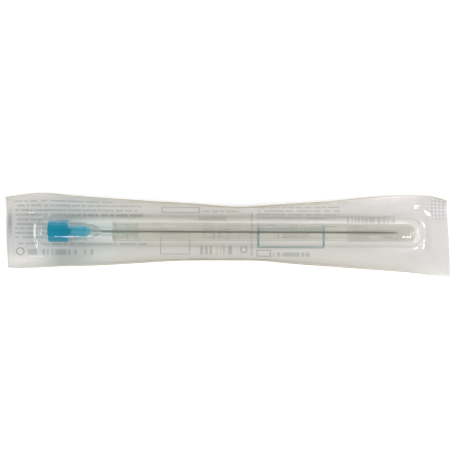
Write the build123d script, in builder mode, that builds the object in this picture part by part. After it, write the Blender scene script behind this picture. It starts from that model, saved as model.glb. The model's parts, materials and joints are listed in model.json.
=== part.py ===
from build123d import *
import os
from math import cos, radians, sin, tan

os.makedirs("parts", exist_ok=True)

# Sizes in millimetres. The needle lies along X with its point towards +X, and +Z is the film side.

# Stylet cap and plug
cap_diameter = 7.45
cap_length = 6.95
cap_edge = 0.5
cap_rim = 1.2
flute_count = 8
flute_width = 1.1
flute_depth = 0.3
plug_diameter = 4.3
plug_length = 6.1
plug_slope = 1.72
plug_nose = 1.6
plug_nose_diameter = 1.2
key_width = 1.2
key_length = 1.3

# Steel
cannula_diameter = 0.64
cannula_bore = 0.38
cannula_depth = 12.0
exposed_length = 90.0
wire_diameter = 0.32
wire_depth = 5.0
bevel_angle = 20.0
lancet_roll = 35.0
lancet_angle = 32.0

# Hub
socket_diameter = 6.4
socket_length = 5.05
lug_span = 7.3
lug_width = 2.2
lug_length = 0.9
flange_diameter = 6.6
flange_thickness = 1.2
body_diameter = 4.9
body_length = 2.1
waist_length = 2.7
spigot_diameter = 3.1
spigot_length = 12.8
ring_places = (1.0, 5.0, 8.6)
ring_lengths = (1.0, 0.5, 1.0)
funnel_length = 5.5

# Guard tube
guard_diameter = 6.8
guard_wall = 0.8
guard_slope = 0.27
guard_grip = 8.6
guard_overhang = 5.9
guard_nose_radius = 2.3
bead_height = 0.15
bead_length = 1.0

# Fits and small gaps
plug_clearance = 0.05
face_gap = 0.1
key_clearance = 0.1
wire_clearance = 0.01
glue_line = 0.015
ring_clearance = 0.05
rest_gap = 0.1

# Sealed pouch
paper_thickness = 0.2
film_thickness = 0.2
seal_coat = 0.05
side_room = 1.58
top_room = 0.35
cap_room = 4.3
guard_room = 2.7
wall_slope = 7.0
corner_radius = 4.6
crown_radius = 3.3
side_seal = 8.8
cap_end_seal = 9.1
guard_end_seal = 7.7
skirt_reach = 1.1
skirt_flare = 1.95
skirt_length = 7.0
skirt_height = 2.0
skirt_slope = 40.0
skirt_bow = 1.9

# Roll of the pouch's long edges in degrees, at shares of the half-length from its middle
far_edge_angles = (
    (-1.0, 75),
    (-0.84, 45),
    (-0.55, 77),
    (-0.23, 102),
    (0.05, 121),
    (0.31, 98),
    (0.58, 63),
    (0.85, 5),
    (1.0, 70),
)
near_edge_angles = (
    (-1.0, 60),
    (-0.84, 66),
    (-0.55, 80),
    (-0.23, 106),
    (0.05, 113),
    (0.31, 95),
    (0.58, 75),
    (0.85, 46),
    (1.0, 5),
)

# Places along the needle, from the middle of the pouch
needle_length = (cap_length + face_gap + socket_length + flange_thickness + body_length
                 + waist_length + spigot_length + exposed_length + guard_overhang)
trough_length = cap_room + needle_length + guard_room
foot_length = trough_length + 2 * skirt_reach
pouch_length = cap_end_seal + foot_length + guard_end_seal
foot_start = cap_end_seal - pouch_length / 2
foot_end = foot_start + foot_length
cap_back = foot_start + skirt_reach + cap_room
cap_face = cap_back + cap_length
hub_mouth = cap_face + face_gap
flange_back = hub_mouth + socket_length
flange_front = flange_back + flange_thickness
body_front = flange_front + body_length
spigot_start = body_front + waist_length
spigot_end = spigot_start + spigot_length
needle_tip = spigot_end + exposed_length
guard_mouth = spigot_end - guard_grip
guard_end = needle_tip + guard_overhang

# Heights and widths
blister_width = cap_diameter + 2 * side_room
skirt_width = blister_width + 2 * skirt_flare
axis_height = paper_thickness + rest_gap + cap_diameter / 2
film_under = paper_thickness + seal_coat
blister_top = axis_height + cap_diameter / 2 + top_room + film_thickness
needle_axis = Axis((0, 0, axis_height), (1, 0, 0))
profile_plane = Plane(origin=(0, 0, axis_height), x_dir=(1, 0, 0), z_dir=(0, -1, 0))
tip_grinds = ((bevel_angle, 0), (lancet_angle, lancet_roll), (lancet_angle, -lancet_roll))


def plug_radius(place):
    """Radius of the plug's Luer slope at a place along the needle."""
    return plug_diameter / 2 - (place - cap_face) * tan(radians(plug_slope))


def guard_bore_radius(place):
    """Radius of the guard tube's bore, which narrows towards its closed end."""
    return guard_diameter / 2 - guard_wall - (place - guard_mouth) * tan(radians(guard_slope))


def grind_plane(angle, roll):
    """A plane through the lowest point of the tip that slants up and back, turned about the needle."""
    slant = Vector(
        sin(radians(angle)), cos(radians(angle)) * sin(radians(roll)), cos(radians(angle)) * cos(radians(roll))
    )
    return Plane(origin=(needle_tip, 0, axis_height - cannula_diameter / 2), z_dir=slant)


def cross_plane(place, side=1):
    """The plane across the needle at a place along X: its y is Z, its x is +Y or, on side -1, -Y."""
    return Plane(origin=(place, 0, 0), x_dir=(0, side, 0), z_dir=(side, 0, 0))


def pouch_sheet(low, high):
    """A sheet of the pouch between two heights: a flat strip under the blister, and two long edges
    that are rolled up towards the film side."""
    with BuildPart() as sheet:
        with BuildSketch(Plane.XY.offset(low)):
            Rectangle(pouch_length, blister_width)
        extrude(amount=high - low)
        for side, angles in ((1, far_edge_angles), (-1, near_edge_angles)):
            for share, angle in angles:
                radius = side_seal / radians(angle)
                centre = (blister_width / 2, radius)
                with BuildSketch(cross_plane(share * pouch_length / 2, side)):
                    with BuildLine():
                        under = CenterArc(centre, radius - low, -90, angle)
                        over = CenterArc(centre, radius - high, -90, angle)
                        Line(under @ 0, over @ 0)
                        Line(under @ 1, over @ 1)
                    make_face()
            loft()
    return sheet.part


def blister_form(inset):
    """The blister as a solid hump, inset by the film's thickness for the space inside it."""
    with BuildPart() as form:
        with BuildSketch(Plane.XY.offset(film_under)):
            with Locations((foot_start + skirt_reach + trough_length / 2, 0)):
                RectangleRounded(trough_length - 2 * inset, blister_width - 2 * inset, corner_radius - inset)
        extrude(amount=blister_top - film_under - inset, taper=wall_slope)
        fillet(form.edges().group_by(Axis.Z)[-1], crown_radius - inset)
        for place, way in ((foot_start, 1), (foot_end, -1)):
            with BuildSketch(Plane(origin=(place, 0, film_under), x_dir=(way, 0, 0), z_dir=(0, 0, 1))):
                with BuildLine():
                    foot = ThreePointArc((skirt_bow, skirt_width / 2), (0, 0), (skirt_bow, -skirt_width / 2))
                    Polyline(
                        foot @ 1,
                        (skirt_length, -blister_width / 2),
                        (skirt_length, blister_width / 2),
                        foot @ 0,
                    )
                make_face()
                offset(amount=-inset, mode=Mode.REPLACE)
            extrude(amount=skirt_height - inset, taper=skirt_slope)
    return form.part


# Backing paper
with BuildPart() as backing_paper:
    add(pouch_sheet(0, paper_thickness))

backing_paper.part.label = "backing_paper"
export_step(backing_paper.part, "parts/backing_paper.step")

# Blister film
with BuildPart() as blister_film:
    add(pouch_sheet(film_under, film_under + film_thickness))
    add(blister_form(0))
    add(pouch_sheet(-paper_thickness, paper_thickness + seal_coat / 2), mode=Mode.SUBTRACT)
    add(blister_form(film_thickness), mode=Mode.SUBTRACT)

blister_film.part.label = "blister_film"
export_step(blister_film.part, "parts/blister_film.step")

# Stylet cap: a fluted grip and the plug that fills the hub's socket
plug_end = cap_face + plug_length
plug_tip = plug_end + plug_nose
flute_radius = (flute_width**2 / 4 + flute_depth**2) / (2 * flute_depth)

with BuildPart() as stylet_cap:
    with BuildSketch(cross_plane(cap_back)):
        with Locations((0, axis_height)):
            Circle(cap_diameter / 2)
    extrude(amount=cap_length)
    fillet(stylet_cap.edges().group_by(Axis.X)[0], cap_edge)
    with BuildSketch(cross_plane(cap_back)):
        with Locations((0, axis_height)):
            with PolarLocations(cap_diameter / 2 - flute_depth + flute_radius, flute_count, start_angle=90):
                Circle(flute_radius)
    extrude(amount=cap_length - cap_rim, mode=Mode.SUBTRACT)
    with BuildSketch(profile_plane):
        with BuildLine():
            Polyline(
                (cap_face, 0),
                (cap_face, plug_radius(cap_face)),
                (plug_end, plug_radius(plug_end)),
                (plug_tip, plug_nose_diameter / 2),
                (plug_tip, 0),
                close=True,
            )
        make_face()
    revolve(axis=needle_axis)
    with BuildSketch(cross_plane(cap_face)):
        with Locations((0, axis_height)):
            Rectangle(key_width, socket_diameter / 2 - key_clearance, align=(Align.CENTER, Align.MIN))
    extrude(amount=key_length)
    with BuildSketch(cross_plane(plug_tip)):
        with Locations((0, axis_height)):
            Circle(wire_diameter / 2 + wire_clearance)
    extrude(amount=-wire_depth, mode=Mode.SUBTRACT)

stylet_cap.part.label = "stylet_cap"
export_step(stylet_cap.part, "parts/stylet_cap.step")

# Stylet wire, ground flush with the cannula's point
wire_start = plug_tip - wire_depth

with BuildPart() as stylet_wire:
    with BuildSketch(cross_plane(wire_start)):
        with Locations((0, axis_height)):
            Circle(wire_diameter / 2)
    extrude(amount=needle_tip - wire_start)
    for angle, roll in tip_grinds:
        split(bisect_by=grind_plane(angle, roll), keep=Keep.BOTTOM)

stylet_wire.part.label = "stylet_wire"
export_step(stylet_wire.part, "parts/stylet_wire.step")

# Hub: socket, lugs, flange, waist and spigot round one stepped bore
cannula_start = spigot_end - cannula_depth
funnel_start = cannula_start - funnel_length
cannula_hole = cannula_diameter / 2 + glue_line

with BuildPart() as hub:
    with BuildSketch(profile_plane):
        with BuildLine():
            waist = TangentArc(
                (spigot_start, spigot_diameter / 2), (body_front, body_diameter / 2), tangent=(-1, 0)
            )
            Polyline(
                waist @ 1,
                (flange_front, body_diameter / 2),
                (flange_front, flange_diameter / 2),
                (flange_back, flange_diameter / 2),
                (flange_back, socket_diameter / 2),
                (hub_mouth, socket_diameter / 2),
                (hub_mouth, 0),
                (spigot_end, 0),
                (spigot_end, spigot_diameter / 2),
                waist @ 0,
            )
        make_face()
    revolve(axis=needle_axis)
    for place, length in zip(ring_places, ring_lengths):
        ring_start = guard_mouth + place - length
        with BuildSketch(cross_plane(ring_start)):
            with Locations((0, axis_height)):
                Circle(guard_bore_radius(ring_start + length) - ring_clearance)
        extrude(amount=length)
    with BuildSketch(cross_plane(hub_mouth)):
        with Locations((0, axis_height)):
            Circle(lug_span / 2)
            Rectangle(lug_span, lug_width, mode=Mode.INTERSECT)
    extrude(amount=lug_length)
    with BuildSketch(profile_plane):
        with BuildLine():
            Polyline(
                (hub_mouth, 0),
                (hub_mouth, plug_radius(hub_mouth) + plug_clearance),
                (funnel_start, plug_radius(funnel_start) + plug_clearance),
                (cannula_start, cannula_hole),
                (spigot_end, cannula_hole),
                (spigot_end, 0),
                close=True,
            )
        make_face()
    revolve(axis=needle_axis, mode=Mode.SUBTRACT)
    with BuildSketch(cross_plane(hub_mouth)):
        with Locations((0, axis_height)):
            Rectangle(key_width + 2 * key_clearance, socket_diameter, align=(Align.CENTER, Align.MIN))
    extrude(amount=key_length, mode=Mode.SUBTRACT)

hub.part.label = "hub"
export_step(hub.part, "parts/hub.step")

# Cannula
with BuildPart() as cannula:
    with BuildSketch(cross_plane(cannula_start)):
        with Locations((0, axis_height)):
            Circle(cannula_diameter / 2)
            Circle(cannula_bore / 2, mode=Mode.SUBTRACT)
    extrude(amount=needle_tip - cannula_start)
    for angle, roll in tip_grinds:
        split(bisect_by=grind_plane(angle, roll), keep=Keep.BOTTOM)

cannula.part.label = "cannula"
export_step(cannula.part, "parts/cannula.step")

# Guard tube: drawn narrower towards its rounded, closed end
bore_end = guard_end - guard_wall

with BuildPart() as guard_tube:
    with BuildSketch(profile_plane):
        with BuildLine():
            Polyline(
                (guard_mouth, 0),
                (guard_mouth, guard_bore_radius(guard_mouth) + guard_wall),
                (guard_end, guard_bore_radius(guard_end) + guard_wall),
                (guard_end, 0),
                close=True,
            )
        make_face()
    revolve(axis=needle_axis)
    fillet(guard_tube.edges().group_by(Axis.X)[-1], guard_nose_radius)
    with BuildSketch(cross_plane(guard_mouth)):
        with Locations((0, axis_height)):
            Circle(guard_diameter / 2 + bead_height)
    extrude(amount=bead_length)
    with BuildSketch(profile_plane) as bore:
        with BuildLine():
            Polyline(
                (guard_mouth, 0),
                (guard_mouth, guard_bore_radius(guard_mouth)),
                (bore_end, guard_bore_radius(bore_end)),
                (bore_end, 0),
                close=True,
            )
        make_face()
        fillet(bore.vertices().group_by(Axis.X)[-1].sort_by(Axis.Y)[-1], guard_nose_radius - guard_wall)
    revolve(axis=needle_axis, mode=Mode.SUBTRACT)

guard_tube.part.label = "guard_tube"
export_step(guard_tube.part, "parts/guard_tube.step")
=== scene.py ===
# %% [markdown]
# # A spinal needle sealed in its pouch
# The imported solids come in first and are never moved. They give the frame in metres: X runs along the
# needle to its point, Z is up from the table. The box of each solid is printed.

# %% Load the frame
import json
import math

import bpy
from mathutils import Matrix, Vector, noise

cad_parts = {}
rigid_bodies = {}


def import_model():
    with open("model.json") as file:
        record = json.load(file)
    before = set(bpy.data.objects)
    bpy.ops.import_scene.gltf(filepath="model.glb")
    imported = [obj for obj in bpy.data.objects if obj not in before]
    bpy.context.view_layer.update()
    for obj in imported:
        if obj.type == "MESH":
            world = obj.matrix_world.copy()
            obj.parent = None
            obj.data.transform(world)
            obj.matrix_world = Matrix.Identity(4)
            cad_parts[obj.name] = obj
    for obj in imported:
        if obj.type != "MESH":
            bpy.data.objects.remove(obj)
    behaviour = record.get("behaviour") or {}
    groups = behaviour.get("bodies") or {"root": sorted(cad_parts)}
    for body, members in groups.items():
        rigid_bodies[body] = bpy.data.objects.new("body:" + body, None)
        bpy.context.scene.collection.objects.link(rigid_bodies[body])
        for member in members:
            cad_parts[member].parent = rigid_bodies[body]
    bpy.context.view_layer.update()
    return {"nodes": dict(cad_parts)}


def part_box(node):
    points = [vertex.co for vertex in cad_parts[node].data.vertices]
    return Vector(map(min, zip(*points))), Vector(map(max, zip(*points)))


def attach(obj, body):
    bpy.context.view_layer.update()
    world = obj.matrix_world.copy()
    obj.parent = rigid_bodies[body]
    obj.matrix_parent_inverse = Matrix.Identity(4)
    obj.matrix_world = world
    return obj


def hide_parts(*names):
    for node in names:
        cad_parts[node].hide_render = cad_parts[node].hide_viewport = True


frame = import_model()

nodes = frame["nodes"]
MM = 0.001
for name in sorted(nodes):
    low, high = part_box(name)
    print(name, [round(1000 * v, 2) for v in (*low, *high)])

# %% [markdown]
# ## Small helpers
# Blender's operators act on everything that is selected, so the selection is cleared before each one.
# A new material starts as a Principled shader, and each finish adds its own nodes to it.

# %% Helpers for objects and materials
def select_only(obj):
    bpy.ops.object.select_all(action="DESELECT")
    obj.select_set(True)
    bpy.context.view_layer.objects.active = obj


def new_material(name):
    material = bpy.data.materials.new(name)
    material.use_nodes = True
    return material, material.node_tree, material.node_tree.nodes["Principled BSDF"]


def node(tree, kind, **values):
    """A shader node: numbers and colours go to its sockets, and names of its settings to the node."""
    made = tree.nodes.new(kind)
    for key, value in values.items():
        socket = made.inputs.get(key.replace("_", " ").title())
        if socket is None:
            setattr(made, key, value)
        else:
            socket.default_value = value
    return made


def math_node(tree, operation, first, second=0.5, third=0.5):
    made = tree.nodes.new("ShaderNodeMath")
    made.operation = operation
    for socket, value in zip(made.inputs, (first, second, third)):
        if isinstance(value, bpy.types.NodeSocket):
            tree.links.new(value, socket)
        else:
            socket.default_value = value
    return made.outputs[0]


def finish_with(obj, *materials):
    """Puts each material in its slot, and leaves the faces in the slots that they have."""
    while len(obj.data.materials) < len(materials):
        obj.data.materials.append(None)
    for slot, material in enumerate(materials):
        obj.data.materials[slot] = material


print("solids to finish:", len(nodes))

# %% [markdown]
# ## The pouch's own shape
# The photo is seen from straight above, so the outline of the pouch tells how far each long edge has
# rolled up: an edge of a known width that looks narrower must stand up. The roll is kept as an angle
# at stations along the pouch, smoothed in between. Every sheet below is first thought of as lying
# flat, and `pouch_point` says where a flat point ends up.

# %% The rolled pouch
HALF_LENGTH = 76.4
HALF_WIDTH = 14.1
BELLY = 5.305
PAPER = 0.2
FILM = 0.2
FILM_UNDER = 0.25
PRINT_SKEW = 0.55
END_SHIFT = 0.7
END_SHAPE = {1: (0.38, 0.066), -1: (0.85, 0.025)}
END_POWER = 4
LEAST_ROLL = 3.0
FOLD_ACROSS = -8.8
FOLD_HEIGHT = 0.09
FOLD_WIDTH = 0.35
FOLD_MIDDLE = 25.0
FOLD_REACH = 45.0

FAR_ROLLS = ((-1.0, 77), (-0.84, 44), (-0.7, 63), (-0.55, 77), (-0.35, 92), (-0.18, 103), (-0.02, 118),
             (0.08, 120), (0.31, 98), (0.46, 84), (0.58, 63), (0.74, 32), (0.86, 8), (0.93, 30), (1.0, 76))
NEAR_ROLLS = ((-1.0, 60), (-0.93, 57), (-0.75, 70), (-0.58, 79), (-0.35, 98), (-0.2, 109), (0.06, 113),
              (0.17, 110), (0.31, 96), (0.45, 85), (0.58, 75), (0.74, 62), (0.86, 48), (0.94, 26), (1.0, 10))


def smooth_between(table, place):
    """The value of a table at a place, on a curve through its stations."""
    last = len(table) - 1
    index = max(i for i in range(last) if table[i][0] <= place or i == 0)
    (x1, y1), (x2, y2) = table[index], table[index + 1]
    before, after = table[max(index - 1, 0)], table[min(index + 2, last)]
    slope1 = (y2 - before[1]) / (x2 - before[0])
    slope2 = (after[1] - y1) / (after[0] - x1)
    span = x2 - x1
    t = min(max((place - x1) / span, 0.0), 1.0)
    return ((2 * t**3 - 3 * t**2 + 1) * y1 + (t**3 - 2 * t**2 + t) * span * slope1
            + (3 * t**2 - 2 * t**3) * y2 + (t**3 - t**2) * span * slope2)


def share_of(x):
    """How far along the pouch a place is: -1 at the blunt end, 1 at the point's end."""
    return min(max(x / HALF_LENGTH, -1.0), 1.0)


def edge_of(x, side):
    """The flat distance of the pouch's long edge from the needle's line."""
    return HALF_WIDTH - side * PRINT_SKEW * (1 + share_of(x))


def pouch_point(x, across, height):
    """Where a flat point of the pouch lies in the rolled one, in millimetres."""
    side = 1 if across >= 0 else -1
    fold = math.exp(-((across - FOLD_ACROSS) / FOLD_WIDTH) ** 2 - ((x - FOLD_MIDDLE) / FOLD_REACH) ** 6)
    height += FOLD_HEIGHT * fold
    end = 1 if x >= 0 else -1
    bow, slant = END_SHAPE[end]
    pull = end * (END_SHIFT - bow * (across / HALF_WIDTH) ** 2) - slant * across
    x += pull * min(abs(x) / HALF_LENGTH, 1.0) ** END_POWER
    beyond = abs(across) - BELLY
    if beyond <= 0:
        return Vector((x, across, height))
    table = FAR_ROLLS if side > 0 else NEAR_ROLLS
    angle = math.radians(max(smooth_between(table, share_of(x)), LEAST_ROLL))
    radius = (edge_of(x, side) - BELLY) / angle
    turned = beyond / radius
    y = BELLY + (radius - height) * math.sin(turned)
    z = radius - (radius - height) * math.cos(turned)
    return Vector((x, side * y, z))


print("edge heights at the middle, mm:", [round(pouch_point(0, s * edge_of(0, s), 0).z, 1) for s in (1, -1)])

# %% [markdown]
# ## The backing paper
# Peel paper is a thin, stiff sheet. A grid is the natural start: it already has the rows that the
# rolled edges bend along. Each vertex is moved from the flat sheet to the rolled one, the flat place
# is kept as a UV map so that the print can follow the paper, and Solidify gives the thickness.

# %% Two helpers for sheets
SHEET_MARGIN = 2.0


def keep_flat_place(mesh, places):
    """A UV map that holds each vertex's place on the flat sheet, in sheet lengths."""
    layer = mesh.uv_layers.new(name="flat sheet")
    for loop in mesh.loops:
        x, across = places[loop.vertex_index]
        from_end = (x + HALF_LENGTH) / (2 * HALF_LENGTH)
        from_side = (across + HALF_WIDTH + SHEET_MARGIN) / (2 * HALF_LENGTH)
        layer.data[loop.index].uv = (from_end, from_side)


def thicken(obj, thickness, offset, rim=1):
    """Solidify, applied. Offset 1 grows the wall on the side that the faces point to."""
    select_only(obj)
    solid = obj.modifiers.new("thickness", "SOLIDIFY")
    solid.thickness = thickness
    solid.offset = offset
    solid.use_even_offset = True
    solid.material_offset = 1
    solid.material_offset_rim = rim
    bpy.ops.object.modifier_apply(modifier=solid.name)


print("sheet length and width, mm:", 2 * HALF_LENGTH, 2 * HALF_WIDTH)

# %% [markdown]
# ## Bend the paper
# The grid's own square becomes the flat sheet, and then the rolled one. A little slow noise is added
# outside the belly, because real paper never curls evenly. The paper keeps three finishes: its face
# under the film, its printed back and its cut edge.

# %% Model the backing paper
LENGTH_CELLS = 220
WIDTH_CELLS = 64
PAPER_WAVE = 0.06
bpy.ops.object.select_all(action="DESELECT")
bpy.ops.mesh.primitive_grid_add(x_subdivisions=LENGTH_CELLS, y_subdivisions=WIDTH_CELLS, size=2)
paper = bpy.context.object
paper.name = "pouch_paper"
flat_places = []
for vertex in paper.data.vertices:
    x = vertex.co.x * HALF_LENGTH
    side = 1 if vertex.co.y >= 0 else -1
    across = vertex.co.y * edge_of(x, side)
    flat_places.append((x, across))
    loose = min(1.0, max(0.0, (abs(across) - BELLY) / 3))
    soft = PAPER_WAVE * noise.noise(Vector((x * 0.09, across * 0.12, 3.0))) * loose
    vertex.co = MM * pouch_point(x, across, PAPER + soft)
for layer in list(paper.data.uv_layers):
    paper.data.uv_layers.remove(layer)
keep_flat_place(paper.data, flat_places)
finish_with(paper, None, None, None)
thicken(paper, MM * PAPER, -1, rim=2)
bpy.ops.object.shade_smooth()
slots_used = sorted({polygon.material_index for polygon in paper.data.polygons})
print("paper faces", len(paper.data.polygons), "in slots", slots_used)

# %% [markdown]
# ## The blister film
# The film is one sheet that was drawn over the needle while warm. It has a long trough with steep
# sides and a rounded crown, a low skirt at each end where the film pulled away from the paper, and
# the same rolled edges as the paper. A grid is wrapped round the trough like a collar: its columns
# become stations round the trough, and its rows become rings from the cut edge of the pouch up to
# the crown. Rows that follow the form give clean highlights.

# %% Measure the trough
TROUGH_START = -66.2
TROUGH_END = 67.6
TROUGH_HALF = 5.3
TROUGH_TOP = 8.3
CORNER = 4.6
CROWN = 3.3
WALL_SLOPE = 7.0
SKIRT_SIDE = 2.6
SKIRT_END = 1.3
SKIRT_BOW = 1.5
SKIRT_LENGTH = 7.0
SKIRT_HEIGHT = 0.5
LEAST_REACH = 0.1
middle_x = (TROUGH_START + TROUGH_END) / 2
corner_x = (TROUGH_END - TROUGH_START) / 2 - CORNER
corner_y = TROUGH_HALF - CORNER
inner_top = TROUGH_TOP - FILM_UNDER - FILM
wall_top = inner_top - CROWN
wall_inset = wall_top * math.tan(math.radians(WALL_SLOPE))
STRAIGHT_CELLS = 150
TURN_CELLS = 16
END_CELLS = 4
EDGE_ROWS = 16
print("crown at", round(inner_top, 2), "mm over the paper, wall leans in by", round(wall_inset, 2), "mm")

# %% [markdown]
# ## Stations round the trough
# Seen from above, the trough is a long box with round corners. A station is a place on that outline:
# the point that its part of the outline turns about, and the angle that it faces.

# %% Place the stations
def trough_stations():
    """Stations once round the trough: the point each one turns about, and its outward angle in degrees."""
    made = [(corner_x * (1 - 2 * i / STRAIGHT_CELLS), corner_y, 90.0) for i in range(STRAIGHT_CELLS)]
    made += [(-corner_x, corner_y, 90 + 90 * i / TURN_CELLS) for i in range(TURN_CELLS)]
    made += [(-corner_x, corner_y * (1 - 2 * i / END_CELLS), 180.0) for i in range(END_CELLS)]
    made += [(-corner_x, -corner_y, 180 + 90 * i / TURN_CELLS) for i in range(TURN_CELLS)]
    made += [(corner_x * (2 * i / STRAIGHT_CELLS - 1), -corner_y, 270.0) for i in range(STRAIGHT_CELLS)]
    made += [(corner_x, -corner_y, 270 + 90 * i / TURN_CELLS) for i in range(TURN_CELLS)]
    made += [(corner_x, corner_y * (2 * i / END_CELLS - 1), 0.0) for i in range(END_CELLS)]
    made += [(corner_x, corner_y, 90 * i / TURN_CELLS) for i in range(TURN_CELLS)]
    return made


stations = trough_stations()
print("stations round the trough:", len(stations))

# %% [markdown]
# ## From the trough to the cut edge
# From each station a line runs outward over the film. It first meets the foot of the skirt, where the
# film comes down on the paper, and at last the cut edge of the pouch. Each end of the pouch bows a
# little, so the foot bows too.

# %% Foot of the skirt and cut edge
STRAIGHT_OUT = 1e-6


def outward(cy, angle):
    """The way that a station faces, as X and Y shares, and its side of the needle."""
    way_x, way_y = math.cos(math.radians(angle)), math.sin(math.radians(angle))
    side = 1 if cy > 0 or (cy == 0 and way_y >= 0) else -1
    return way_x, way_y, side


def skirt_foot(cx, cy, angle):
    """Where the line out from a station leaves the paper: a bow at each end, closing in along the sides."""
    way_x, way_y, side = outward(cy, angle)
    wide = TROUGH_HALF + SKIRT_SIDE
    if abs(way_x) < STRAIGHT_OUT:
        near = min(max((abs(cx) - corner_x + SKIRT_LENGTH) / SKIRT_LENGTH, 0.0), 1.0)
        reach = LEAST_REACH + (SKIRT_SIDE - LEAST_REACH) * near * near * (3 - 2 * near)
        return middle_x + cx, side * (TROUGH_HALF + reach)
    end = 1 if way_x > 0 else -1
    slope = abs(way_y / way_x)
    if slope <= 1:
        y = cy + side * (wide - abs(cy)) * slope
        return middle_x + end * (corner_x + CORNER + SKIRT_END - SKIRT_BOW * (y / wide) ** 2), y
    return middle_x + cx + end * (CORNER + SKIRT_END - SKIRT_BOW) / slope, side * wide


def cut_edge(cx, cy, angle):
    """Where the line out from a station meets the cut edge of the pouch, laid flat."""
    way_x, way_y, side = outward(cy, angle)
    if abs(way_x) < STRAIGHT_OUT:
        return middle_x + cx, side * edge_of(middle_x + cx, side)
    end = 1 if way_x > 0 else -1
    run_x = abs(end * HALF_LENGTH - middle_x - cx)
    run_y = edge_of(end * HALF_LENGTH, side) - abs(cy)
    slope = abs(way_y / way_x)
    if slope <= 1:
        return end * HALF_LENGTH, cy + side * run_y * slope
    return middle_x + cx + end * run_x / slope, side * (abs(cy) + run_y)


print("foot and edge at the point's end, mm:", skirt_foot(corner_x, 0.0, 0.0), cut_edge(corner_x, 0.0, 0.0))

# %% [markdown]
# ## Rows from the foot to the crown
# The section of the trough is a low ramp, a steep wall and a quarter round. The rows follow it, so
# that the bright lines of the lamps break where they do on drawn film.

# %% Rows of the trough
RAMP = ((0.0, 0.0), (0.12, 0.04), (0.28, 0.18), (0.46, 0.4), (0.64, 0.62), (0.82, 0.83), (1.0, 1.0))
WALL_ROWS = 6
CROWN_ROWS = 11


def trough_rows():
    """Rows from the foot of the skirt to the crown: share of the skirt, inset of the wall, height."""
    made = [(share, 0.0, rise) for share, rise in RAMP]
    made += [(1.0, wall_inset * i / WALL_ROWS, wall_top * i / WALL_ROWS) for i in range(1, WALL_ROWS + 1)]
    for i in range(1, CROWN_ROWS + 1):
        angle = math.pi / 2 * i / CROWN_ROWS
        made.append((1.0, wall_inset + CROWN * (1 - math.cos(angle)), wall_top + CROWN * math.sin(angle)))
    made.append((1.0, CORNER, inner_top))
    return made


rows = trough_rows()
print("rows of the trough:", len(rows))

# %% [markdown]
# ## One point of the film
# With stations and rows, any point of the film has an address. Its flat place and its height come
# from here. At the point's end the skirt is lower in the middle, where the film was pressed back.

# %% Points of the film
MOST_LIFT = 1.7
POINT_LIFT = 0.6
POINT_STEEPNESS = 1.8
DIP_DEPTH = 0.45
DIP_PLACE = -0.2
DIP_WIDTH = 1.5


def film_point(station, row):
    """The flat place and the height of one point of the film, before the pouch is rolled."""
    cx, cy, angle = stations[station % len(stations)]
    way_x, way_y = outward(cy, angle)[:2]
    foot = skirt_foot(cx, cy, angle)
    wall = (middle_x + cx + way_x * CORNER, cy + way_y * CORNER)
    reach = math.dist(foot, wall)
    lift = SKIRT_HEIGHT * min(MOST_LIFT, max(0.0, reach - LEAST_REACH) / SKIRT_END)
    if way_x > 0:
        lift *= POINT_LIFT - DIP_DEPTH * math.exp(-((wall[1] - DIP_PLACE) / DIP_WIDTH) ** 4)
    if row < EDGE_ROWS:
        edge = cut_edge(cx, cy, angle)
        t = row / EDGE_ROWS
        return edge[0] + (foot[0] - edge[0]) * t, edge[1] + (foot[1] - edge[1]) * t, 0.0
    if row == EDGE_ROWS + len(rows):
        return middle_x + cx, 0.0, inner_top
    share, inset, rise = rows[row - EDGE_ROWS]
    if inset == 0:
        if way_x > 0:
            rise = min(1.0, POINT_STEEPNESS * rise)
        return foot[0] + (wall[0] - foot[0]) * share, foot[1] + (wall[1] - foot[1]) * share, lift * rise
    height = lift + rise * (inner_top - lift) / inner_top
    return wall[0] - way_x * inset, wall[1] - way_y * inset, height


print("middle of the crown, mm:", film_point(0, EDGE_ROWS + len(rows)))

# %% [markdown]
# ## Wrap the grid into the film
# The first and the last column meet, and so do the two sides of the crown, and Merge by Distance
# closes both seams. A slow noise moves the warm-drawn parts a little, more at the ends, where the
# real film crinkles.

# %% Model the blister film
SLOW_WAVE = 0.07
CRINKLE = 0.22
SEAM = 0.01
bpy.ops.object.select_all(action="DESELECT")
bpy.ops.mesh.primitive_grid_add(x_subdivisions=len(stations), y_subdivisions=EDGE_ROWS + len(rows), size=2)
film = bpy.context.object
film.name = "pouch_film"
flat_film = []
for vertex in film.data.vertices:
    station = round((vertex.co.x + 1) / 2 * len(stations))
    row = round((vertex.co.y + 1) / 2 * (EDGE_ROWS + len(rows)))
    x, across, height = film_point(station, row)
    near_end = min(max((abs(x - middle_x) - corner_x + 6) / 8, 0.0), 1.0)
    drawn = min(1.0, height / 1.5)
    slow = SLOW_WAVE * noise.noise(Vector((x * 0.15, across * 0.4, 7.0 + height * 0.2)))
    crinkle = CRINKLE * near_end * noise.noise(Vector((x * 0.5, across * 0.45, height * 0.4)))
    flat_film.append((x, across))
    vertex.co = MM * pouch_point(x, across, FILM_UNDER + height + drawn * (slow + crinkle))
for layer in list(film.data.uv_layers):
    film.data.uv_layers.remove(layer)
keep_flat_place(film.data, flat_film)
select_only(film)
bpy.ops.object.mode_set(mode="EDIT")
bpy.ops.mesh.select_all(action="SELECT")
bpy.ops.mesh.remove_doubles(threshold=MM * SEAM)
bpy.ops.mesh.normals_make_consistent(inside=False)
bpy.ops.object.mode_set(mode="OBJECT")
up = sum(p.normal.z > 0 for p in film.data.polygons) / len(film.data.polygons)
if up < 0.5:
    bpy.ops.object.mode_set(mode="EDIT")
    bpy.ops.mesh.flip_normals()
    bpy.ops.object.mode_set(mode="OBJECT")
thicken(film, MM * FILM, 1)
bpy.ops.object.shade_smooth()
print("film faces", len(film.data.polygons), "facing up before the wall", round(up, 2))

# %% [markdown]
# ## Ride and replace
# The two new sheets stand for the paper and the film of the solids, which stay for the motion.

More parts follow.
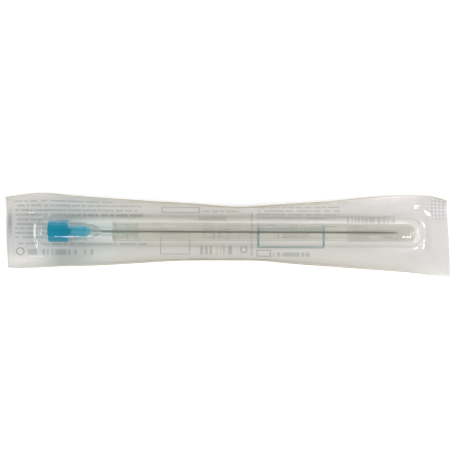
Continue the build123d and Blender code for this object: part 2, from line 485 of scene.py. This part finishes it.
# %% Put the sheets in place of the solids
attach(paper, "pack")
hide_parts("backing_paper")
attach(film, "pack")
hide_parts("blister_film")
print("on the pack:", paper.name, film.name)

# %% [markdown]
# ## Colours
# Colours are read off the photograph as screen values and turned into the linear values that the
# shaders work in.

# %% A colour helper
def colour(red, green, blue):
    values = [v / 255 for v in (red, green, blue)]
    return (*[v / 12.92 if v <= 0.04045 else ((v + 0.055) / 1.055) ** 2.4 for v in values], 1.0)


def join(tree, source, target):
    tree.links.new(source, target)


print("mid grey in linear light:", round(colour(128, 128, 128)[0], 3))

# %% [markdown]
# ## Relief, grain and mixes
# Every finish here has a fine relief and an uneven colour, as real paper, plastic and steel have. All
# of it is worked out from the object's own place, so nothing slides when a piece moves.

# %% Helpers for finishes
def bumped(tree, principled, height, strength, distance):
    bump = node(tree, "ShaderNodeBump", strength=strength, distance=distance)
    join(tree, height, bump.inputs["Height"])
    join(tree, bump.outputs["Normal"], principled.inputs["Normal"])


def object_noise(tree, scale, detail=4.0, roughness=0.55):
    place = tree.nodes.new("ShaderNodeTexCoord")
    cloud = node(tree, "ShaderNodeTexNoise", scale=scale, detail=detail, roughness=roughness)
    join(tree, place.outputs["Object"], cloud.inputs["Vector"])
    return cloud.outputs["Fac"]


def between(tree, value, low, high, span=(0.0, 1.0), kind="LINEAR"):
    """Spreads a value, from 0 to 1 unless another span is given, over a range."""
    spread = node(tree, "ShaderNodeMapRange", from_min=span[0], from_max=span[1], to_min=low, to_max=high)
    spread.interpolation_type = kind
    join(tree, value, spread.inputs["Value"])
    return spread.outputs["Result"]


def mixed(tree, share, first, second):
    """A colour mix: first where the share is 0, second where it is 1."""
    mix = tree.nodes.new("ShaderNodeMix")
    mix.data_type = "RGBA"
    for socket, value in ((mix.inputs[0], share), (mix.inputs[6], first), (mix.inputs[7], second)):
        if isinstance(value, bpy.types.NodeSocket):
            join(tree, value, socket)
        else:
            socket.default_value = value
    return mix.outputs[2]


def mixed_shader(tree, share, first, second):
    """A mix of two shaders: first where the share is 0, second where it is 1."""
    mix = tree.nodes.new("ShaderNodeMixShader")
    join(tree, share, mix.inputs["Fac"])
    join(tree, first, mix.inputs[1])
    join(tree, second, mix.inputs[2])
    return mix.outputs[0]


print("helpers for finishes are ready")

# %% [markdown]
# ## Peel paper and its print
# The paper is printed on its back, and the print shows through it faintly. The real words and marks
# are left off: bars, frames, rings and rows of small blocks keep the places and the weight that
# they have in the layout. All of them come from distances on the flat sheet, so they bend with it.

# %% Distances on the flat sheet
def flat_millimetres(tree):
    """The flat place of the sheet in millimetres, as X and Y values."""
    uv = node(tree, "ShaderNodeUVMap", uv_map="flat sheet")
    split = tree.nodes.new("ShaderNodeSeparateXYZ")
    join(tree, uv.outputs["UV"], split.inputs["Vector"])
    x = math_node(tree, "MULTIPLY_ADD", split.outputs["X"], 2 * HALF_LENGTH, -HALF_LENGTH)
    y = math_node(tree, "MULTIPLY_ADD", split.outputs["Y"], 2 * HALF_LENGTH, -HALF_WIDTH - SHEET_MARGIN)
    return x, y


def bar_mask(tree, x, y, box):
    """1 inside a rectangle of the flat sheet."""
    left, right, low, high = box
    across = math_node(tree, "COMPARE", x, (left + right) / 2, (right - left) / 2)
    along = math_node(tree, "COMPARE", y, (low + high) / 2, (high - low) / 2)
    return math_node(tree, "MULTIPLY", across, along)


def distance_to(tree, x, y, centre, stretch=1.0):
    """The distance from a point of the flat sheet, with X counted at a share of its length."""
    dx = math_node(tree, "MULTIPLY", math_node(tree, "SUBTRACT", x, centre[0]), stretch)
    dy = math_node(tree, "SUBTRACT", y, centre[1])
    squares = [math_node(tree, "MULTIPLY", way, way) for way in (dx, dy)]
    return math_node(tree, "SQRT", math_node(tree, "ADD", *squares))


def ring_mask(tree, x, y, centre, radius, line):
    """1 on a ring of the flat sheet."""
    return math_node(tree, "COMPARE", distance_to(tree, x, y, centre), radius, line)


def any_of(tree, masks):
    """The largest of several masks at each place."""
    total = masks[0]
    for mask in masks[1:]:
        total = math_node(tree, "MAXIMUM", total, mask)
    return total


print("margin of the flat map beside the sheet, mm:", SHEET_MARGIN)

# %% [markdown]
# ## Lay out the generic print
# Boxes on the flat sheet, in millimetres: left, right, low and high. The rows of small print and the
# larger titles become plain blocks of uneven length, and the code becomes plain stripes. Nothing
# here can be read.

# %% The layout
ROW_BARS = ((-74.0, -39.0, 10.6, 11.3), (-73.5, -30.2, 8.75, 9.45), (-73.5, -31.5, 7.0, 7.7),
            (-73.5, -29.5, 5.35, 6.05), (-73.5, -60.5, 3.7, 4.3), (-73.5, -60.5, 2.1, 2.7),
            (-73.5, -60.5, 0.6, 1.2), (-73.5, -60.5, -1.0, -0.4), (-73.5, -60.5, -2.5, -1.9),
            (-73.5, -28.0, -4.7, -4.1), (-10.2, 4.1, 7.0, 7.7), (10.2, 38.9, 8.8, 9.4),
            (10.2, 38.9, 7.3, 7.9), (10.2, 38.9, 5.9, 6.5), (10.2, 34.5, 4.5, 5.1))
TITLE_BARS = ((-69.4, -42.4, -8.4, -6.3), (-9.5, 1.7, -8.2, -5.0), (14.7, 29.2, -8.9, -7.2),
              (14.7, 29.2, -2.2, -0.6), (41.7, 58.3, 3.1, 5.5))
CODE_BARS = ((-10.2, -0.5, 3.8, 5.3), (41.7, 64.5, -3.4, 1.9), (8.1, 8.8, -8.7, 6.8))
FRAMES = ((-23.0, -9.6, 6.7, 9.1), (-23.4, -13.0, -8.2, -0.6), (10.2, 15.2, -9.1, -6.3))
RINGS = (((-72.0, -7.2), 1.3), ((5.7, -6.3), 1.1), ((-6.4, -0.6), 1.7), ((-1.2, -0.6), 1.7))
TEAL_FRAME = (10.4, 33.9, -5.6, 1.6)
FRAME_LINE = 0.3
TEAL_LINE = 0.7
print("boxes in the layout:", len(ROW_BARS) + len(TITLE_BARS) + len(CODE_BARS) + len(FRAMES) + 1)

# %% [markdown]
# ## Cut the boxes into blocks
# A noise that only changes along a row cuts it into blocks with clean ends. Snap keeps the noise the
# same over the height of a row.

# %% Masks of the print
ROW_PITCH = 1.62
BLOCK_PITCH = 9.0
RING_LINE = 0.2


def shrunk(box, line):
    """The box that is left inside a line of the given width."""
    left, right, low, high = box
    return left + line, right - line, low + line, high - line


def frame_mask(tree, x, y, box, line):
    """1 on the line that runs round the inside of a box."""
    outer = bar_mask(tree, x, y, box)
    return math_node(tree, "SUBTRACT", outer, bar_mask(tree, x, y, shrunk(box, line)))


def stretched_noise(tree, x, y, along, across):
    """A noise on the flat sheet with its own scale along and across the needle, per millimetre."""
    place = tree.nodes.new("ShaderNodeCombineXYZ")
    join(tree, math_node(tree, "MULTIPLY", x, along), place.inputs["X"])
    join(tree, math_node(tree, "MULTIPLY", y, across), place.inputs["Y"])
    cloud = node(tree, "ShaderNodeTexNoise", scale=1.0, detail=1.0)
    join(tree, place.outputs["Vector"], cloud.inputs["Vector"])
    return cloud.outputs["Fac"]


def print_masks(tree):
    """Where the grey print and the teal print lie, 0 to 1."""
    x, y = flat_millimetres(tree)
    rows = any_of(tree, [bar_mask(tree, x, y, box) for box in ROW_BARS])
    titles = any_of(tree, [bar_mask(tree, x, y, box) for box in TITLE_BARS])
    codes = any_of(tree, [bar_mask(tree, x, y, box) for box in CODE_BARS])
    line = math_node(tree, "SNAP", y, ROW_PITCH)
    words = math_node(tree, "GREATER_THAN", stretched_noise(tree, x, line, 0.62, 3.7), 0.44)
    half = math_node(tree, "SNAP", y, BLOCK_PITCH)
    blocks = math_node(tree, "GREATER_THAN", stretched_noise(tree, x, half, 0.9, 3.7), 0.47)
    stripes = math_node(tree, "GREATER_THAN", stretched_noise(tree, x, line, 4.0, 3.7), 0.5)
    solid = [math_node(tree, "MULTIPLY", math_node(tree, "MULTIPLY", rows, words), 0.6),
             math_node(tree, "MULTIPLY", math_node(tree, "MULTIPLY", titles, blocks), 0.65),
             math_node(tree, "MULTIPLY", codes, between(tree, stripes, 0.35, 0.7))]
    solid += [frame_mask(tree, x, y, box, FRAME_LINE) for box in FRAMES]
    solid += [ring_mask(tree, x, y, centre, radius, RING_LINE) for centre, radius in RINGS]
    return any_of(tree, solid), frame_mask(tree, x, y, TEAL_FRAME, TEAL_LINE)


print("the noise steps across the rows every", ROW_PITCH, "mm")

# %% [markdown]
# ## Marks of sealing and handling
# The heated tool that sealed the pouch left fields of raised dots, and the blunt end was pinched
# into a long crease. The glints on the dots and the shade along the crease are painted into the
# paper's colour, and so is the cap's colour that light throws on the paper round it, under the film.

# %% Marks on the sheet
DOT_RATE = 2 * math.pi / 1.3
DOT_CORNER = (73.2, 8.6)
DOT_SHARPNESS = 3.0
CORNER_REACH = 2.6
CREASE_PLACE = (-75.2, 3.0)
CREASE_REACH = 6.5
DOTTED = (((38.0, 69.5, 9.0, 12.4), 0.35), ((-75.8, -74.0, -14.0, 12.6), 0.3))


def seal_dots(tree, x, y):
    """The raised dots of the sealing tool, where it pressed the film on the paper."""
    waves = [math_node(tree, "SINE", math_node(tree, "MULTIPLY", way, DOT_RATE)) for way in (x, y)]
    dots = math_node(tree, "MULTIPLY", *[math_node(tree, "MAXIMUM", wave, 0.0) for wave in waves])
    dots = math_node(tree, "MINIMUM", math_node(tree, "MULTIPLY", dots, DOT_SHARPNESS), 1.0)
    pressed = [math_node(tree, "MULTIPLY", bar_mask(tree, x, y, box), share) for box, share in DOTTED]
    away = math_node(tree, "DIVIDE", distance_to(tree, x, y, DOT_CORNER, 1.3), 2.2)
    corner = math_node(tree, "MAXIMUM", math_node(tree, "SUBTRACT", CORNER_REACH, away), 0.0)
    where = any_of(tree, pressed + [math_node(tree, "MINIMUM", corner, 1.0)])
    return math_node(tree, "MULTIPLY", dots, where), where


def crease(tree, x, y):
    """A long lens of painted shade where the end of the pouch was pressed in, 1 along its middle."""
    away = math_node(tree, "DIVIDE", distance_to(tree, x, y, CREASE_PLACE, 7.0), CREASE_REACH)
    return math_node(tree, "MAXIMUM", math_node(tree, "SUBTRACT", 1.0, away), 0.0)


print("dots repeat every", round(2 * math.pi / DOT_RATE, 2), "mm")

# %% [markdown]
# ## Mix the paper
# White paper under film looks a little grey, and thin paper lets some light through, which a share
# of subsurface light gives: the rolled-up edges stay bright. The print shows weakly on the face under
# the film and strongly on the back. Light and shade are painted on too: glints on the seal dots with
# a darker sheen tint between them, shade along the crease, and on the face under the film the cap's
# coloured light round it. The cut edge is a darker brown.

# %% Finish the paper
# Painted light: the cap's colour thrown on the paper round it, centred here and fading over this reach.
CAP_PLACE = (-57.0, 0.0)
CAP_REACH = 13.0


def painted_cap_light(tree, share):
    """The share of painted light from the cap that the paper takes on, less of it further away."""
    x, y = flat_millimetres(tree)
    away = math_node(tree, "DIVIDE", distance_to(tree, x, y, CAP_PLACE, 0.6), CAP_REACH)
    near = math_node(tree, "MAXIMUM", math_node(tree, "SUBTRACT", 1.0, away), 0.0)
    return math_node(tree, "MULTIPLY", near, share)


def paper_material(name, base, ink, teal, amount, painted_cap_tint):
    """One face of the paper: its plain colour, the weight of its print, the marks of sealing and the painted
    light and shade.
    """
    material, tree, principled = new_material(name)
    fibres = object_noise(tree, 900.0, 6.0, 0.7)
    cloud = object_noise(tree, 60.0, 3.0)
    plain = mixed(tree, cloud, tuple(0.95 * c for c in base[:3]) + (1.0,), base)
    grey, green = print_masks(tree)
    inked = mixed(tree, math_node(tree, "MULTIPLY", grey, amount), plain, ink)
    inked = mixed(tree, math_node(tree, "MULTIPLY", green, min(1.0, 1.6 * amount)), inked, teal)
    # Painted light: the paper round the cap turns teal, as if lit through the cap.
    inked = mixed(tree, painted_cap_light(tree, painted_cap_tint), inked, colour(70, 190, 205))
    x, y = flat_millimetres(tree)
    dots, pressed = seal_dots(tree, x, y)
    # Painted sheen: a darker lavender tint where the seal pressed, which sets off the painted glints.
    inked = mixed(tree, math_node(tree, "MULTIPLY", pressed, 0.5), inked, colour(206, 198, 208))
    # Painted shade: a grey lens along the crease at the blunt end.
    crease_shade = math_node(tree, "MULTIPLY", crease(tree, x, y), 0.8)
    inked = mixed(tree, crease_shade, inked, colour(150, 146, 154))
    # Painted glints: the raised seal dots turn nearly white.
    join(tree, mixed(tree, dots, inked, colour(255, 250, 255)), principled.inputs["Base Color"])
    principled.inputs["Subsurface Weight"].default_value = 0.6
    principled.inputs["Subsurface Radius"].default_value = (1.0, 1.0, 0.9)
    principled.inputs["Subsurface Scale"].default_value = 0.0005
    join(tree, between(tree, fibres, 0.55, 0.8), principled.inputs["Roughness"])
    principled.inputs["Specular IOR Level"].default_value = 0.25
    bumped(tree, principled, fibres, 0.25, 0.00008)
    return material


front = paper_material("peel_paper_front", base=colour(237, 234, 233), ink=colour(96, 100, 104),
                       teal=colour(20, 135, 145), amount=0.5, painted_cap_tint=0.22)
back = paper_material("peel_paper_print", base=colour(232, 232, 230), ink=colour(70, 72, 76),
                      teal=colour(0, 120, 135), amount=0.85, painted_cap_tint=0.0)
edge, tree, principled = new_material("peel_paper_cut_edge")
fibres = object_noise(tree, 2500.0, 5.0)
join(tree, mixed(tree, fibres, colour(150, 130, 84), colour(196, 182, 140)), principled.inputs["Base Color"])
principled.inputs["Roughness"].default_value = 0.8
bumped(tree, principled, fibres, 0.4, 0.00005)
finish_with(paper, front, back, edge)
print("paper finishes:", [m.name for m in paper.data.materials])

# %% [markdown]
# ## Clear film
# Seen straight on, the film is nearly invisible: it shows as reflections and as a slight haze. A
# transparent shader keeps what lies behind it bright, and a glossy one adds the reflections, more
# of them at a slant, as Fresnel gives. Bump nodes carry the ripples that are too small to model.

# %% Clear film, what passes through
DRAWN_PARTS = ((-68.5, 70.0, -5.9, 5.9), (-69.0, -64.0, -9.5, 9.5), (65.0, 70.5, -9.5, 9.5))
FILM_AHEAD = (0.99, 0.99, 0.99, 1.0)
FILM_SLANTED = (0.85, 0.86, 0.82, 1.0)
film_finish, tree, principled = new_material("blister_film_clear")
tree.nodes.remove(principled)
output = tree.nodes["Material Output"]
clear = tree.nodes.new("ShaderNodeBsdfTransparent")
slant = node(tree, "ShaderNodeLayerWeight", blend=0.35)
join(tree, mixed(tree, slant.outputs["Facing"], FILM_AHEAD, FILM_SLANTED), clear.inputs["Color"])
haze = tree.nodes.new("ShaderNodeBsdfDiffuse")
haze.inputs["Color"].default_value = colour(236, 240, 242)
print("drawn parts of the film:", len(DRAWN_PARTS))

# %% [markdown]
# ## The film's gloss
# Where the film was drawn it is smooth and mirrors the lamps. Where it is sealed to the paper the
# dots and the paper's grain make it duller. Only the outer face mirrors: inside so thin a wall, a
# second mirror would only hide the needle.

# %% Clear film, what it mirrors
SEALED_ROUGHNESS = 0.3
DRAWN_ROUGHNESS = 0.02
gloss = tree.nodes.new("ShaderNodeBsdfGlossy")
gloss.inputs["Color"].default_value = (1.0, 1.0, 1.0, 1.0)
ripple = object_noise(tree, 260.0, 3.0)
slow_ripple = object_noise(tree, 45.0, 2.0)
x, y = flat_millimetres(tree)
drawn = any_of(tree, [bar_mask(tree, x, y, box) for box in DRAWN_PARTS])
dullness = between(tree, drawn, SEALED_ROUGHNESS, DRAWN_ROUGHNESS)
join(tree, math_node(tree, "MULTIPLY_ADD", slow_ripple, 0.05, dullness), gloss.inputs["Roughness"])
bump = node(tree, "ShaderNodeBump", strength=0.2, distance=0.0001)
rippled = math_node(tree, "MULTIPLY_ADD", ripple, 0.35, slow_ripple)
dots, pressed = seal_dots(tree, x, y)
join(tree, math_node(tree, "MULTIPLY_ADD", dots, 0.8, rippled), bump.inputs["Height"])
fresnel = node(tree, "ShaderNodeFresnel")
fresnel.inputs["IOR"].default_value = 1.5
for shader in (gloss, haze, fresnel):
    join(tree, bump.outputs["Normal"], shader.inputs["Normal"])
hazy = mixed_shader(tree, between(tree, slow_ripple, 0.0, 0.008), clear.outputs[0], haze.outputs[0])
face = tree.nodes.new("ShaderNodeNewGeometry")
outer_face = math_node(tree, "SUBTRACT", 1.0, face.outputs["Backfacing"])
mirrored = math_node(tree, "MULTIPLY", fresnel.outputs[0], outer_face)
join(tree, mixed_shader(tree, mirrored, hazy, gloss.outputs[0]), output.inputs["Surface"])
finish_with(film, film_finish)
print("film finish:", film.data.materials[0].name, "with", len(tree.nodes), "nodes")

# %% [markdown]
# ## Clear mouldings
# The hub and the guard are clear plastic. A Principled shader with transmission bends light as
# they do, and lamps shine through it, so that the paper below isn't black.

# %% Finish the hub and the guard
def clear_plastic(name, tint, rough, wave, body):
    """Clear plastic: the share called body bends light, and the rest lets it straight through."""
    material, tree, principled = new_material(name)
    principled.inputs["Base Color"].default_value = tint
    principled.inputs["Transmission Weight"].default_value = 1.0
    principled.inputs["IOR"].default_value = 1.49
    marks = object_noise(tree, wave, 4.0)
    join(tree, between(tree, marks, rough * 0.5, rough * 1.5), principled.inputs["Roughness"])
    bumped(tree, principled, marks, 0.12, 0.00005)
    path = tree.nodes.new("ShaderNodeLightPath")
    straight = tree.nodes.new("ShaderNodeBsdfTransparent")
    straight.inputs["Color"].default_value = tint
    no_shadow = math_node(tree, "SUBTRACT", 1.0, path.outputs["Is Shadow Ray"])
    bending = math_node(tree, "MULTIPLY", no_shadow, body)
    both = mixed_shader(tree, bending, straight.outputs[0], principled.outputs[0])
    join(tree, both, tree.nodes["Material Output"].inputs["Surface"])
    return material


HUB_TINT = (0.85, 0.9, 0.885, 1.0)
GUARD_TINT = (0.925, 0.925, 0.905, 1.0)
finish_with(nodes["hub"], clear_plastic("hub_clear_plastic", HUB_TINT, 0.2, 300.0, 0.8))
finish_with(nodes["guard_tube"], clear_plastic("guard_clear_plastic", GUARD_TINT, 0.15, 500.0, 0.3))
print("clear pieces:", nodes["hub"].name, nodes["guard_tube"].name)

# %% [markdown]
# ## Coloured cap
# The cap is moulded in one solid colour, with a fine texture from the mould, so it needs little
# gloss and a fine relief.

# %% Finish the cap
cap_finish, tree, principled = new_material("cap_moulded_teal")
grain = object_noise(tree, 1600.0, 4.0, 0.6)
cloud = object_noise(tree, 120.0, 3.0)
join(tree, mixed(tree, cloud, colour(0, 134, 164), colour(0, 151, 181)), principled.inputs["Base Color"])
join(tree, between(tree, grain, 0.28, 0.42), principled.inputs["Roughness"])
principled.inputs["Specular IOR Level"].default_value = 0.08
bumped(tree, principled, grain, 0.15, 0.00004)
finish_with(nodes["stylet_cap"], cap_finish)
print("cap finish:", cap_finish.name)

# %% [markdown]
# ## Steel
# The needle and its wire are drawn through dies, so their fine lines run along them. A noise that is
# stretched along X gives those lines to the colour, the roughness and the relief.

# %% Finish the steel
steel_finish, tree, principled = new_material("needle_steel")
principled.inputs["Metallic"].default_value = 1.0
place = tree.nodes.new("ShaderNodeTexCoord")
stretch = tree.nodes.new("ShaderNodeMapping")
stretch.inputs["Scale"].default_value = (120.0, 9000.0, 9000.0)
join(tree, place.outputs["Object"], stretch.inputs["Vector"])
lines = node(tree, "ShaderNodeTexNoise", scale=1.0, detail=3.0)
join(tree, stretch.outputs["Vector"], lines.inputs["Vector"])
steel_colour = mixed(tree, lines.outputs["Fac"], colour(96, 96, 99), colour(132, 132, 136))
join(tree, steel_colour, principled.inputs["Base Color"])
join(tree, between(tree, lines.outputs["Fac"], 0.18, 0.4), principled.inputs["Roughness"])
bumped(tree, principled, lines.outputs["Fac"], 0.1, 0.00002)
finish_with(nodes["cannula"], steel_finish)
finish_with(nodes["stylet_wire"], steel_finish)
for name in ("hub", "guard_tube", "stylet_cap", "cannula", "stylet_wire"):
    print(name, nodes[name].data.materials[0].name)

# %% [markdown]
# ## Floor
# The photograph has a white ground with hardly a shadow. A pale floor takes what shadow there is. It
# glows a little for rays that see it directly, more of it far away, so that it runs into the white
# of the room without a line.

# %% Floor
def seen_directly(tree):
    """1 for rays from the camera and for those that metal and clear plastic send on, 0 for plain light."""
    path = tree.nodes.new("ShaderNodeLightPath")
    kinds = ("Is Camera Ray", "Is Glossy Ray", "Is Transmission Ray")
    return any_of(tree, [path.outputs[kind] for kind in kinds])


FLOOR_SIZE = 6.0
FLOOR_DROP = 0.05
bpy.ops.object.select_all(action="DESELECT")
bpy.ops.mesh.primitive_plane_add(size=FLOOR_SIZE, location=(0, 0, -MM * FLOOR_DROP))
floor = bpy.context.object
floor.name = "floor"
floor_finish, tree, principled = new_material("pale_floor")
principled.inputs["Base Color"].default_value = (0.9, 0.9, 0.9, 1.0)
principled.inputs["Roughness"].default_value = 0.9
principled.inputs["Specular IOR Level"].default_value = 0.0
glow = tree.nodes.new("ShaderNodeEmission")
place = tree.nodes.new("ShaderNodeTexCoord")
far = tree.nodes.new("ShaderNodeVectorMath")
far.operation = "LENGTH"
join(tree, place.outputs["Object"], far.inputs[0])
fade = between(tree, far.outputs["Value"], 0.3, 0.72, span=(0.25, 0.55), kind="SMOOTHSTEP")
join(tree, math_node(tree, "MULTIPLY", seen_directly(tree), fade), glow.inputs["Strength"])
both = tree.nodes.new("ShaderNodeAddShader")
join(tree, principled.outputs[0], both.inputs[0])
join(tree, glow.outputs[0], both.inputs[1])
join(tree, both.outputs[0], tree.nodes["Material Output"].inputs["Surface"])
finish_with(floor, floor_finish)
print("floor:", floor.name, "at", round(1000 * floor.location.z, 2), "mm")

# %% [markdown]
# ## The room
# An even room gives most of the light. It is white where it is seen directly, dimmer as light on the
# piece, and dark straight overhead, as a ceiling behind a camera is. That dark patch is what the
# flat crown of the film mirrors, and it keeps the colour of the cap clean.

# %% The room
world = bpy.data.worlds.new("studio")
bpy.context.scene.world = world
world.use_nodes = True
tree = world.node_tree
background = tree.nodes["Background"]
background.inputs["Color"].default_value = (1.0, 0.995, 0.975, 1.0)
upward = tree.nodes.new("ShaderNodeTexCoord")
height = tree.nodes.new("ShaderNodeSeparateXYZ")
join(tree, upward.outputs["Generated"], height.inputs["Vector"])
overhead = between(tree, height.outputs["Z"], 1.0, 0.07, span=(0.93, 0.985), kind="SMOOTHSTEP")
path = tree.nodes.new("ShaderNodeLightPath")
room = math_node(tree, "MULTIPLY", between(tree, seen_directly(tree), 0.415, 1.0), overhead)
join(tree, math_node(tree, "MAXIMUM", room, path.outputs["Is Camera Ray"]), background.inputs["Strength"])
print("world:", world.name)

# %% [markdown]
# ## Lamps
# Two broad lamps light the rolled-up edges from the sides. Two windows, left and right, stand where
# the sloping foot of the film mirrors them to the camera, which gives the bright arcs at the ends.
# Two small lamps overhead give the short glints along the crown.

# %% Lamps
def soft_lamp(name, place, target, width, depth, watts):
    bpy.ops.object.light_add(type="AREA", location=place)
    lamp = bpy.context.object
    lamp.name = name
    lamp.data.shape = "RECTANGLE"
    lamp.data.size = width
    lamp.data.size_y = depth
    lamp.data.energy = watts
    lamp.rotation_euler = (Vector(target) - Vector(place)).to_track_quat("-Z", "Y").to_euler()
    return lamp


soft_lamp("key", (0.42, -0.36, 0.25), (0.02, 0, 0), 0.5, 0.3, 1.6).data.color = (1.0, 0.94, 1.0)
soft_lamp("fill", (-0.1, 0.46, 0.22), (0, 0, 0), 0.5, 0.3, 1.0)
soft_lamp("left_window", (-0.45, -0.05, 0.3), (-0.03, 0, 0), 0.17, 0.12, 0.6)
soft_lamp("right_window", (0.48, -0.05, 0.32), (0.03, 0, 0), 0.24, 0.12, 1.1)
soft_lamp("left_spot", (-0.11, -0.1, 0.42), (-0.05, 0, 0), 0.04, 0.04, 0.09)
soft_lamp("right_spot", (0.13, -0.06, 0.42), (0.06, 0, 0), 0.04, 0.04, 0.12)

for lamp in bpy.context.scene.objects:
    if lamp.type == "LIGHT":
        print(lamp.name, round(lamp.data.energy, 2), "W")

# %% [markdown]
# ## Camera
# The photograph looks straight down through a long lens, so the camera stands nearly half a metre
# up. The film, the guard and the hub put many clear walls behind each other, and the rays need
# enough see-through steps to reach the paper below them.

# %% Camera
camera_data = bpy.data.cameras.new("camera")
camera = bpy.data.objects.new("camera", camera_data)
bpy.context.scene.collection.objects.link(camera)
camera_data.lens = 100.0
camera_data.sensor_width = 36.0
camera_data.clip_start = 0.01
camera_data.clip_end = 20.0
camera.location = (-0.00052, 0.00204, 0.4384)
camera.rotation_euler = (0.0, 0.0, math.radians(0.27))
bpy.context.scene.camera = camera
bpy.context.scene.view_settings.view_transform = "Standard"
bpy.context.scene.cycles.transparent_max_bounces = 40
print("camera height, mm:", round(1000 * camera.location.z, 1))
